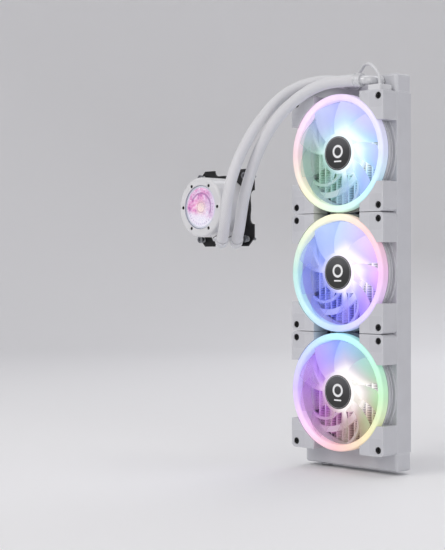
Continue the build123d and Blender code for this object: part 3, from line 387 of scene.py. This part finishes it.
def display_material():
    """A lit round display: pastel clouds, a gauge arc with ticks, and a grey rim."""
    made, tree, shader = material("display_panel")
    parts = node(tree, "ShaderNodeSeparateXYZ", Vector=object_point(tree)).outputs
    across = calc(tree, "SUBTRACT", parts["X"], PUMP_CENTRE.x)
    up = calc(tree, "SUBTRACT", parts["Z"], PUMP_CENTRE.z)
    radius = distance(tree, across, up)
    angle = calc(tree, "ARCTAN2", up, across)
    clouds = node(tree, "ShaderNodeTexNoise", Vector=object_point(tree), Scale=110.0, Detail=5.0,
                  Distortion=2.2)
    colour = ramp(tree, clouds.outputs["Fac"], [(0.30, "a85cae"), (0.42, "e58cc4"), (0.52, "f4b6da"),
                                                (0.62, "fbe2ee"), (0.74, "e6d2f6")])
    cream = span(tree, calc(tree, "SUBTRACT", calc(tree, "MULTIPLY", up, 0.8), across), 0.008, -0.010)
    colour = blend(tree, calc(tree, "MULTIPLY", cream, 0.55), colour, rgb("eef0f6"))
    heart = span(tree, radius, 0.012, 0.004)
    colour = blend(tree, calc(tree, "MULTIPLY", heart, 0.8), colour, rgb("fbeadc"))
    snow = span(tree, calc(tree, "ADD", up, calc(tree, "MULTIPLY", across, 0.25)), -0.006, -0.014)
    colour = blend(tree, calc(tree, "MULTIPLY", snow, 0.85), colour, rgb("f2f0f5"))

    def between(value, limits, soft):
        """1 between two values, with soft sides."""
        low, high = limits
        return calc(tree, "MULTIPLY", span(tree, value, low - soft, low), span(tree, value, high + soft, high))

    arc = calc(tree, "MULTIPLY", between(radius, GAUGE_RADII, 0.3 * MM), between(angle, GAUGE_ANGLES, 0.02))
    colour = blend(tree, calc(tree, "MULTIPLY", arc, 0.6), colour, rgb("8c3c94"))
    ticks = span(tree, calc(tree, "COSINE", calc(tree, "MULTIPLY", angle, TICK_COUNT)), 0.55, 0.8)
    ticks = calc(tree, "MULTIPLY", ticks, between(radius, TICK_RADII, 0.2 * MM))
    colour = blend(tree, calc(tree, "MULTIPLY", ticks, 0.7), colour, rgb("8a4f9e"))
    ring = between(radius, INNER_RING_RADII, 0.2 * MM)
    colour = blend(tree, calc(tree, "MULTIPLY", ring, 0.7), colour, rgb("b0588f"))
    colour = blend(tree, span(tree, radius, RIM_RADIUS, RIM_RADIUS + 0.4 * MM), colour, rgb("d6d8de"))
    colour = blend(tree, span(tree, radius, EDGE_RADIUS, EDGE_RADIUS + 0.4 * MM), colour, rgb("6c6e76"))
    put(tree, shader.inputs["Base Color"], blend(tree, 0.5, colour, rgb("000000")))
    put(tree, shader.inputs["Emission Color"], colour)
    put(tree, shader.inputs["Emission Strength"], 0.62)
    put(tree, shader.inputs["Roughness"], 0.3)
    return made


def lens_material():
    """A clear lens with a glossy face and a painted reflection: its pale colour covers the display more at
    grazing angles.
    """
    made, tree, shader = material("display_glass")
    painted_reflection = node(tree, "ShaderNodeFresnel", IOR=1.5).outputs["Fac"]
    put(tree, shader.inputs["Base Color"], rgb("eef2ff"))
    put(tree, shader.inputs["Roughness"], calc(tree, "MULTIPLY_ADD", noise(tree, 120.0), 0.04, 0.03))
    # Painted reflection: the pale lens colour shows more where the face is seen at a grazing angle.
    put(tree, shader.inputs["Alpha"], calc(tree, "MULTIPLY_ADD", painted_reflection, 0.8, 0.06))
    put(tree, shader.inputs["Coat Weight"], 0.5)
    return made


def board_material():
    """A white circuit board with rows of tracks and pads."""
    made, tree, shader = material("circuit_board")
    turned = node(tree, "ShaderNodeMapping", Vector=object_point(tree), Rotation=(radians(90), 0, 0))
    bricks = node(tree, "ShaderNodeTexBrick", Vector=turned.outputs[0], Scale=180.0, Color1=rgb("dfe2df"),
                  Color2=rgb("c9d0ca"), Mortar=rgb("9fb0a4"))
    bricks.inputs["Mortar Size"].default_value = 0.06
    put(tree, shader.inputs["Base Color"], bricks.outputs["Color"])
    put(tree, shader.inputs["Roughness"], calc(tree, "MULTIPLY_ADD", noise(tree, 500.0), 0.2, 0.3))
    put(tree, shader.inputs["Normal"], bump(tree, bricks.outputs["Fac"], 0.00003))
    return made


def sleeve_material():
    """White woven sleeving: lit strands with shaded gaps between them."""
    made, tree, shader = material("hose_sleeve")
    weave = node(tree, "ShaderNodeAttribute", {"attribute_name": "weave"}).outputs["Fac"]
    strands = noise(tree, 5200.0, 2.0)
    colour = ramp(tree, weave, [(0.0, "8c8c95"), (0.35, "c9c9cf"), (1.0, "e4e4e7")])
    colour = blend(tree, calc(tree, "MULTIPLY", strands, 0.12), colour, rgb("a6a6b0"))
    put(tree, shader.inputs["Base Color"], colour)
    put(tree, shader.inputs["Roughness"], calc(tree, "MULTIPLY_ADD", strands, 0.2, 0.48))
    put(tree, shader.inputs["Sheen Weight"], 0.35)
    put(tree, shader.inputs["Sheen Roughness"], 0.5)
    put(tree, shader.inputs["Normal"], bump(tree, strands, 0.00004))
    return made


MATERIALS = {
    "radiator_paint": finish_material("radiator_paint", "d0d1d7", 0.45, edge=0.0006, edge_code="eceef2"),
    "core_paint": finish_material("core_paint", "c3c5cc", 0.42, metallic=0.25, grain=3500),
    "fan_plastic": finish_material("fan_plastic", "cfd0d6", 0.56, grain=4200, edge=0.0005, edge_code="e6e7ec"),
    "badge": badge_material(),
    "pad_rubber": finish_material("pad_rubber", "cbccd2", 0.78, grain=1800, depth=0.00005),
    "circuit_board": board_material(),
    "bearing_brass": finish_material("bearing_brass", "b58a45", 0.32, metallic=1.0, grain=5000),
    "lamination_steel": striped_material("lamination_steel", "8f9298", "3c3e42", 0.4, 0.9, 0.0005, "Y"),
    "copper_wire": striped_material("copper_wire", "c4713d", "5a2a14", 0.3, 0.8, 0.0004, "Y"),
    "black_screw": finish_material("black_screw", "121214", 0.42, metallic=0.4, edge=0.0002,
                                   edge_code="2e2e33"),
    "steel": finish_material("steel", "b4b6ba", 0.28, metallic=1.0, grain=6000, depth=0.00001),
    "seal_rubber": finish_material("seal_rubber", "1a1a1b", 0.7, grain=2000),
    "stud_steel": finish_material("stud_steel", "8b8d92", 0.34, metallic=0.9, edge=0.0003, edge_code="c8cacf"),
    "lead_plastic": finish_material("lead_plastic", "dedfe3", 0.5, grain=2600),
    "pump_plastic": finish_material("pump_plastic", "e2e2e5", 0.36, grain=5000, depth=0.00001, coat=0.15),
    "display_glass": lens_material(),
    "display_panel": display_material(),
    "impeller_plastic": finish_material("impeller_plastic", "242427", 0.5, edge=0.0004,
                                        edge_code="3d3d42"),
    "magnet": finish_material("magnet", "2f3033", 0.5, metallic=0.3, grain=900, depth=0.00006),
    "copper": finish_material("copper", "c67a50", 0.3, metallic=1.0, grain=7000, depth=0.00001, edge=0.0004,
                              edge_code="eeb48e"),
    "bracket_black": finish_material("bracket_black", "1b1b1e", 0.42, metallic=0.3, edge=0.0004,
                                     edge_code="4b4b50"),
    "fitting_paint": finish_material("fitting_paint", "d9dade", 0.3, metallic=0.15, edge=0.0004,
                                     edge_code="f2f2f4"),
    "hose_sleeve": sleeve_material(),
    "fin_metal": finish_material("fin_metal", "a4a6ad", 0.36, metallic=0.6, grain=3500),
    "mark_silver": finish_material("mark_silver", "b4b5b8", 0.3, metallic=0.6),
    "mark_white": finish_material("mark_white", "f6f6f8", 0.35, mottle=0.02),
}
add_fan_light(MATERIALS["core_paint"], -0.0235, 0.85)
add_fan_light(MATERIALS["fin_metal"], -0.0235, 0.34)
add_fan_light(MATERIALS["fan_plastic"], -0.030, 0.62)
for bay in BAYS:
    MATERIALS[f"{bay}_ring"] = ring_material(bay)
    MATERIALS[f"{bay}_blades"] = blade_material(bay)


def wear(piece, made):
    """Give an object one material."""
    piece.data.materials.clear()
    piece.data.materials.append(made)


# Every CAD node takes the material of its slot, apart from the lit parts, which differ from fan to fan
for row in frame["record"]["subparts"]:
    name, slot = row["node"], row["material_slot"]
    bay = name.split("_")[0]
    lit = {"ring_diffuser": f"{bay}_ring", "blade_plastic": f"{bay}_blades"}
    wear(nodes[name], MATERIALS[lit.get(slot, slot)])


# ================================================================ building helpers
def mesh_piece(name, vertices, faces, made, body="cooler", smooth=True):
    """A new piece from vertices and faces, with its material and body."""
    mesh = bpy.data.meshes.new(name)
    mesh.from_pydata([tuple(vertex) for vertex in vertices], [], faces)
    mesh.update()
    if smooth:
        mesh.shade_smooth()
    else:
        mesh.shade_flat()
    piece = bpy.data.objects.new(name, mesh)
    bpy.context.scene.collection.objects.link(piece)
    wear(piece, made)
    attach(piece, body)
    return piece


def grid_faces(rows, columns, closed_rows=False):
    """Quads over a grid of vertices stored row by row, with closed columns."""
    faces = []
    for row in range(rows if closed_rows else rows - 1):
        here, above = row * columns, (row + 1) % rows * columns
        for column in range(columns):
            beside = (column + 1) % columns
            faces.append((here + column, here + beside, above + beside, above + column))
    return faces


def torus(centre, radius, section, name, made, slot, body, flat=0.6, steps=96, sides=12):
    """A thin ring that faces -Y, flattened a little along Y."""
    vertices = []
    for step in range(steps):
        turn = 2 * pi * step / steps
        for side in range(sides):
            lean = 2 * pi * side / sides
            reach = radius + section * np.cos(lean)
            vertices.append(centre + Vector((reach * np.cos(turn), -section * flat * np.sin(lean),
                                             reach * np.sin(turn))))
    return mesh_piece(name, vertices, grid_faces(steps, sides, closed_rows=True), made, body)


# ================================================================ folded fins
BANK_COUNT = 13
BANK_WIDTH = 7 * MM
FOLD = 1.45 * MM                # height of half a wave
CROWN = 0.5 * MM                # flat part that touches a tube
FIN_THICK = 0.16 * MM


def folded_fins():
    """One zigzag strip of thin metal in each gap between the flat tubes."""
    low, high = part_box("fin_banks")
    pitch = (high.x - low.x - BANK_WIDTH) / (BANK_COUNT - 1)
    folds = int((high.z - low.z - CROWN) / FOLD)
    vertices, faces = [], []
    for bank in range(BANK_COUNT):
        left = low.x + bank * pitch + FIN_THICK
        sides = (left, left + BANK_WIDTH - 2 * FIN_THICK)
        first = len(vertices)
        for fold in range(folds):
            x = sides[fold % 2]
            start = low.z + fold * FOLD
            for z in (start, start + CROWN):
                vertices += [(x, low.y, z), (x, high.y, z)]
        for step in range(2 * folds - 1):
            a = first + 2 * step
            faces.append((a, a + 1, a + 3, a + 2))
    fins = mesh_piece("folded_fins", vertices, faces, MATERIALS["fin_metal"], smooth=False)
    thicken = fins.modifiers.new("thickness", "SOLIDIFY")
    thicken.thickness = FIN_THICK
    thicken.offset = 0
    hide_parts("fin_banks")


folded_fins()

# ================================================================ badges
MARK_PROUD = 0.05 * MM
RIM_SIZE = (18.7 * MM, 0.26 * MM)       # radius of a torus and of its section
RING_SIZE = (6.4 * MM, 1.4 * MM)
RING_RISE = 2 * MM
BAR_DROP = 9.5 * MM
BAR_SIZE = (11 * MM, 1.7 * MM)
BAR_STEPS = 12


def printed_bar(centre, name, made, body):
    """A thin bar with round ends that faces -Y."""
    half = (BAR_SIZE[0] - BAR_SIZE[1]) / 2
    radius = BAR_SIZE[1] / 2
    outline = []
    for end, start in ((half, -pi / 2), (-half, pi / 2)):
        for step in range(BAR_STEPS + 1):
            turn = start + pi * step / BAR_STEPS
            outline.append((end + radius * np.cos(turn), radius * np.sin(turn)))
    count = len(outline)
    vertices = [centre + Vector((x, depth, z)) for depth in (-2 * MARK_PROUD, MARK_PROUD) for x, z in outline]
    faces = [tuple(range(count)), tuple(range(count, 2 * count))[::-1]]
    for step in range(count):
        beside = (step + 1) % count
        faces.append((step, step + count, beside + count, beside))
    return mesh_piece(name, vertices, faces, made, body, smooth=False)


for bay in BAYS:
    front = Vector((FAN_CENTRES[bay].x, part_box(f"{bay}_fan_badge")[0].y - MARK_PROUD, FAN_CENTRES[bay].z))
    rotor = f"{bay}_rotor"
    torus(front, *RIM_SIZE, f"{bay}_badge_rim", MATERIALS["mark_silver"], "badge", rotor)
    torus(front + Vector((0, 0, RING_RISE)), *RING_SIZE, f"{bay}_badge_mark", MATERIALS["mark_white"], "badge",
          rotor, flat=0.2)
    printed_bar(front - Vector((0, 0, BAR_DROP)), f"{bay}_badge_bar", MATERIALS["mark_white"], rotor)

# ================================================================ hoses and lead
HOSE_DIAMETER = 13.6 * MM
HOSE_STRANDS = 20               # strands each way around a hose
HOSE_SIDES = 100
HOSE_STEP = 0.6 * MM
WEAVE_DEPTH = 0.22 * MM
HOSE_ROUTES = {
    "front_hose": [
        (-0.1427, -0.0988, 0.0378),
        (-0.1304, -0.1089, 0.0438),
        (-0.1195, -0.1175, 0.0545),
        (-0.112, -0.123, 0.068),
        (-0.107, -0.125, 0.089),
        (-0.106, -0.117, 0.118),
        (-0.1035, -0.1015, 0.150),
        (-0.097, -0.081, 0.182),
        (-0.085, -0.060, 0.210),
        (-0.069, -0.046, 0.2235),
        (-0.050, -0.039, 0.2285),
        (-0.024, -0.0368, 0.229),
        (0.0032, -0.0366, 0.2233),
    ],
    "rear_hose": [
        (-0.1427, -0.0733, 0.0378),
        (-0.1304, -0.0834, 0.0438),
        (-0.1195, -0.0915, 0.0545),
        (-0.1118, -0.0965, 0.0685),
        (-0.106, -0.098, 0.090),
        (-0.1025, -0.0905, 0.119),
        (-0.0945, -0.0825, 0.150),
        (-0.0795, -0.0748, 0.179),
        (-0.058, -0.067, 0.202),
        (-0.032, -0.059, 0.218),
        (-0.004, -0.053, 0.2245),
        (0.0370, -0.0514, 0.2220),
    ],
}
LEAD_DIAMETER = 3.6 * MM
LEAD_ROUTE = [
    (0.056, -0.041, 0.2156),
    (0.056, -0.041, 0.225),
    (0.052, -0.043, 0.234),
    (0.043, -0.0425, 0.241),
    (0.031, -0.037, 0.2425),
    (0.020, -0.0275, 0.2395),
    (0.004, -0.0175, 0.2334),
    (-0.018, -0.0135, 0.2319),
    (-0.044, -0.0145, 0.2322),
    (-0.064, -0.013, 0.2355),
    (-0.077, -0.012, 0.231),
    (-0.080, -0.012, 0.215),
    (-0.078, -0.013, 0.188),
    (-0.0765, -0.0145, 0.142),
    (-0.078, -0.014, 0.090),
    (-0.0785, -0.013, 0.038),
    (-0.0785, -0.013, -0.0101),
]


def route_curve(name, route, resolution):
    """A smooth curve with the route's points as its control points."""
    data = bpy.data.curves.new(name, "CURVE")
    data.dimensions = "3D"
    data.resolution_u = resolution
    spline = data.splines.new("NURBS")
    spline.points.add(len(route) - 1)
    for point, place in zip(spline.points, route):
        point.co = (*place, 1.0)
    spline.order_u = 3
    spline.use_endpoint_u = True
    curve = bpy.data.objects.new(name, data)
    bpy.context.scene.collection.objects.link(curve)
    return curve


def centreline(curve, step):
    """Evenly spaced points along a curve that has no bevel."""
    mesh = bpy.data.meshes.new_from_object(curve)
    points = np.array([vertex.co for vertex in mesh.vertices], float)
    bpy.data.meshes.remove(mesh)
    lengths = np.r_[0, np.cumsum(np.linalg.norm(np.diff(points, axis=0), axis=1))]
    count = int(lengths[-1] / step) + 1
    places = np.linspace(0, lengths[-1], count)
    return np.stack([np.interp(places, lengths, points[:, axis]) for axis in range(3)], axis=1), places


def frames_along(points):
    """Two directions square to a line at each of its points, carried along without twisting."""
    ways = np.gradient(points, axis=0)
    ways /= np.linalg.norm(ways, axis=1)[:, None]
    side = np.cross(ways[0], (0.0, 0.0, 1.0))
    sides = []
    for way in ways:
        side = side - way * np.dot(side, way)
        side /= np.linalg.norm(side)
        sides.append(side)
    sides = np.array(sides)
    return sides, np.cross(ways, sides)


def sleeved_hose(name):
    """A round hose in a woven sleeve: strands cross over and under each other as real relief."""
    curve = route_curve(f"{name}_line", HOSE_ROUTES[name], 24)
    points, places = centreline(curve, HOSE_STEP)
    bpy.data.objects.remove(curve)
    across, up = frames_along(points)
    turns = np.linspace(0, 2 * pi, HOSE_SIDES, endpoint=False)
    around = HOSE_STRANDS * turns / (2 * pi)
    along = places * HOSE_STRANDS / (pi * HOSE_DIAMETER)
    one_way = around[None, :] + along[:, None]
    other_way = around[None, :] - along[:, None]
    over = (np.floor(one_way) + np.floor(other_way)) % 2 == 0
    weave = np.where(over, np.sin(pi * (one_way % 1)), np.sin(pi * (other_way % 1))) ** 0.7
    radii = HOSE_DIAMETER / 2 - WEAVE_DEPTH * (1 - weave)
    vertices = (points[:, None, :] + radii[..., None] * (
        np.cos(turns)[None, :, None] * across[:, None, :] + np.sin(turns)[None, :, None] * up[:, None, :]))
    rows = len(points)
    faces = grid_faces(rows, HOSE_SIDES)
    faces.append(tuple(range(HOSE_SIDES))[::-1])
    faces.append(tuple(range((rows - 1) * HOSE_SIDES, rows * HOSE_SIDES)))
    hose = mesh_piece(f"{name}_sleeve", vertices.reshape(-1, 3), faces, MATERIALS["hose_sleeve"])
    weave_data = hose.data.attributes.new("weave", "FLOAT", "POINT")
    weave_data.data.foreach_set("value", weave.ravel().astype(np.float32))
    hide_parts(name)


for hose_name in HOSE_ROUTES:
    sleeved_hose(hose_name)

lead = route_curve("fan_lead_jacket", LEAD_ROUTE, 16)
lead.data.bevel_depth = LEAD_DIAMETER / 2
lead.data.bevel_resolution = 6
lead.data.use_fill_caps = True
wear(lead, MATERIALS["lead_plastic"])
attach(lead, "cooler")
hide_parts("fan_lead")

# ================================================================ studio
BOWL_RADIUS = 3.6
BOWL_CURVE = 1.4
BOWL_HEIGHT = 3.2
BOWL_STEPS = 96
CURVE_STEPS = 16
LIT_POINT = (-0.05, -0.05, 0.03)        # every light faces this place


def studio_bowl():
    """A pale floor that curves up into a round wall, with no line where they meet."""
    floor_z = cad_box[0].z - 0.001
    profile = [(BOWL_RADIUS - BOWL_CURVE, 0.0)]
    for step in range(1, CURVE_STEPS + 1):
        lean = pi / 2 * step / CURVE_STEPS
        radius = BOWL_RADIUS - BOWL_CURVE + BOWL_CURVE * np.sin(lean)
        profile.append((radius, BOWL_CURVE * (1 - np.cos(lean))))
    profile.append((BOWL_RADIUS, BOWL_HEIGHT))
    turns = [2 * pi * step / BOWL_STEPS for step in range(BOWL_STEPS)]
    shape = bmesh.new()
    rings = []
    for radius, height in profile:
        ring = [shape.verts.new((radius * np.cos(turn), radius * np.sin(turn), floor_z + height))
                for turn in turns]
        rings.append(ring)
    shape.faces.new(rings[0])
    for lower, upper in zip(rings, rings[1:]):
        for step in range(BOWL_STEPS):
            beside = (step + 1) % BOWL_STEPS
            shape.faces.new((lower[step], upper[step], upper[beside], lower[beside]))
    mesh = bpy.data.meshes.new("floor")
    shape.to_mesh(mesh)
    shape.free()
    mesh.shade_smooth()
    floor = bpy.data.objects.new("floor", mesh)
    bpy.context.scene.collection.objects.link(floor)
    made, tree, shader = material("floor")
    put(tree, shader.inputs["Base Color"], rgb("efeff1"))
    put(tree, shader.inputs["Roughness"], 0.9)
    wear(floor, made)


def soft_light(name, place, size, power, tint):
    """A square area light that faces the fans."""
    data = bpy.data.lights.new(name, "AREA")
    data.size = size
    data.energy = power
    data.color = rgb(tint)[:3]
    light = bpy.data.objects.new(name, data)
    light.location = place
    light.rotation_euler = (Vector(LIT_POINT) - Vector(place)).to_track_quat("-Z", "Y").to_euler()
    bpy.context.scene.collection.objects.link(light)


studio_bowl()
soft_light("key", (-0.6, -2.2, 1.5), 1.6, 23.5, "fffdf8")
soft_light("fill", (2.1, -1.0, 0.7), 1.8, 12.0, "fffdf8")
soft_light("top", (0.1, 0.2, 2.4), 1.6, 13.0, "ffffff")
soft_light("back", (-0.6, 2.2, 1.2), 1.6, 13.0, "fbfbff")
world = bpy.data.worlds.new("studio")
world.use_nodes = True
world.node_tree.nodes["Background"].inputs["Color"].default_value = rgb("ecebee")
world.node_tree.nodes["Background"].inputs["Strength"].default_value = 0.42
bpy.context.scene.world = world
